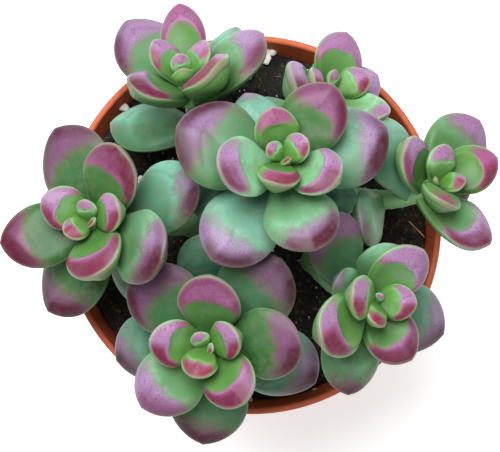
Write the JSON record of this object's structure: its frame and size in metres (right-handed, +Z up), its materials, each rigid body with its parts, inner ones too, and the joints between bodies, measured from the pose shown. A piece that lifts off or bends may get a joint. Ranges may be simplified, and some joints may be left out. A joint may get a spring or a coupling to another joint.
{
  "type": "potted sedum",
  "caption": "Clump of leafy stems with open rosettes of thick, red-tipped fleshy leaves, rooted in dark soil in a round tapered plastic nursery pot.",
  "frame": {"origin": "middle of the pot's flat base, on the surface that the pot stands on", "axes": "+Z up along the pot's axis; +X right and +Y back, as the plant is seen from above"},
  "size_m": [0.1296, 0.1165, 0.1512],
  "materials": {
    "pot": "satin terracotta-coloured plastic",
    "soil": "loose dark potting soil with white grains",
    "leaves": "waxy green skin that turns pink and dark red at the tips"
  },
  "bodies": {
    "root": {"pot": "pot", "soil": "soil", "leafy_stem_back_left": "leaves", "leafy_stem_back_right": "leaves", "leafy_stem_centre": "leaves", "leafy_stem_left": "leaves", "leafy_stem_right": "leaves", "leafy_stem_front": "leaves", "leafy_stem_front_right": "leaves"}
  },
  "joints": []
}
